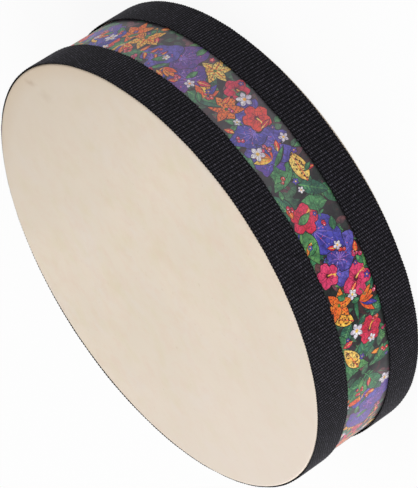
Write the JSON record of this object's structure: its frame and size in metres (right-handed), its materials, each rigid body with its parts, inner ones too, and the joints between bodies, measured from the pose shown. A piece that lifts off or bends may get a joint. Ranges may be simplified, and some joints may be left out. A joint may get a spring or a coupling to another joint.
{
  "type": "ocean drum",
  "caption": "Shallow round drum with a hide head on each side, black webbing over both rims, a printed band between them and loose steel beads inside.",
  "frame": {"origin": "centre of the rear head's outer face, on which the drum lies", "axes": "+Z along the drum's axis, from the rear head to the front head; X is the way the bead rows roll"},
  "size_m": [0.25, 0.25, 0.068],
  "materials": {
    "shell_ply": "sanded, bare inside",
    "printed_film": "glossy printed film with tropical leaves and flowers",
    "hide": "matt natural hide",
    "webbing": "ribbed black webbing",
    "staple_wire": "galvanised",
    "steel_bead": "polished"
  },
  "bodies": {
    "drum": {"shell": "shell_ply", "printed_sleeve": "printed_film", "front_head": "hide", "rear_head": "hide", "front_webbing": "webbing", "rear_webbing": "webbing", "front_head_staples": "staple_wire", "rear_head_staples": "staple_wire"},
    "rim_beads": {"rim_beads": "steel_bead"},
    "bead_row_01": {"bead_row_01": "steel_bead"},
    "bead_row_02": {"bead_row_02": "steel_bead"},
    "bead_row_03": {"bead_row_03": "steel_bead"},
    "bead_row_04": {"bead_row_04": "steel_bead"},
    "bead_row_05": {"bead_row_05": "steel_bead"},
    "bead_row_06": {"bead_row_06": "steel_bead"},
    "bead_row_07": {"bead_row_07": "steel_bead"},
    "bead_row_08": {"bead_row_08": "steel_bead"},
    "bead_row_09": {"bead_row_09": "steel_bead"},
    "bead_row_10": {"bead_row_10": "steel_bead"},
    "bead_row_11": {"bead_row_11": "steel_bead"}
  },
  "joints": [
    {"name": "rim_beads_swirl", "type": "hinge", "parent": "drum", "child": "rim_beads", "pos_m": [0, 0, 0.0022], "axis": [0, 0, 1], "continuous": true},
    {"name": "bead_row_01_roll", "type": "slide", "parent": "rim_beads", "child": "bead_row_01", "axis": [1, 0, 0], "range_m": [-0.0188, 0.0188]},
    {"name": "bead_row_02_roll", "type": "slide", "parent": "rim_beads", "child": "bead_row_02", "axis": [1, 0, 0], "range_m": [-0.0303, 0.0303]},
    {"name": "bead_row_03_roll", "type": "slide", "parent": "rim_beads", "child": "bead_row_03", "axis": [1, 0, 0], "range_m": [-0.037, 0.037]},
    {"name": "bead_row_04_roll", "type": "slide", "parent": "rim_beads", "child": "bead_row_04", "axis": [1, 0, 0], "range_m": [-0.0413, 0.0413]},
    {"name": "bead_row_05_roll", "type": "slide", "parent": "rim_beads", "child": "bead_row_05", "axis": [1, 0, 0], "range_m": [-0.0439, 0.0439]},
    {"name": "bead_row_06_roll", "type": "slide", "parent": "rim_beads", "child": "bead_row_06", "axis": [1, 0, 0], "range_m": [-0.0451, 0.0451]},
    {"name": "bead_row_07_roll", "type": "slide", "parent": "rim_beads", "child": "bead_row_07", "axis": [1, 0, 0], "range_m": [-0.0439, 0.0439]},
    {"name": "bead_row_08_roll", "type": "slide", "parent": "rim_beads", "child": "bead_row_08", "axis": [1, 0, 0], "range_m": [-0.0413, 0.0413]},
    {"name": "bead_row_09_roll", "type": "slide", "parent": "rim_beads", "child": "bead_row_09", "axis": [1, 0, 0], "range_m": [-0.037, 0.037]},
    {"name": "bead_row_10_roll", "type": "slide", "parent": "rim_beads", "child": "bead_row_10", "axis": [1, 0, 0], "range_m": [-0.0303, 0.0303]},
    {"name": "bead_row_11_roll", "type": "slide", "parent": "rim_beads", "child": "bead_row_11", "axis": [1, 0, 0], "range_m": [-0.0188, 0.0188]}
  ]
}
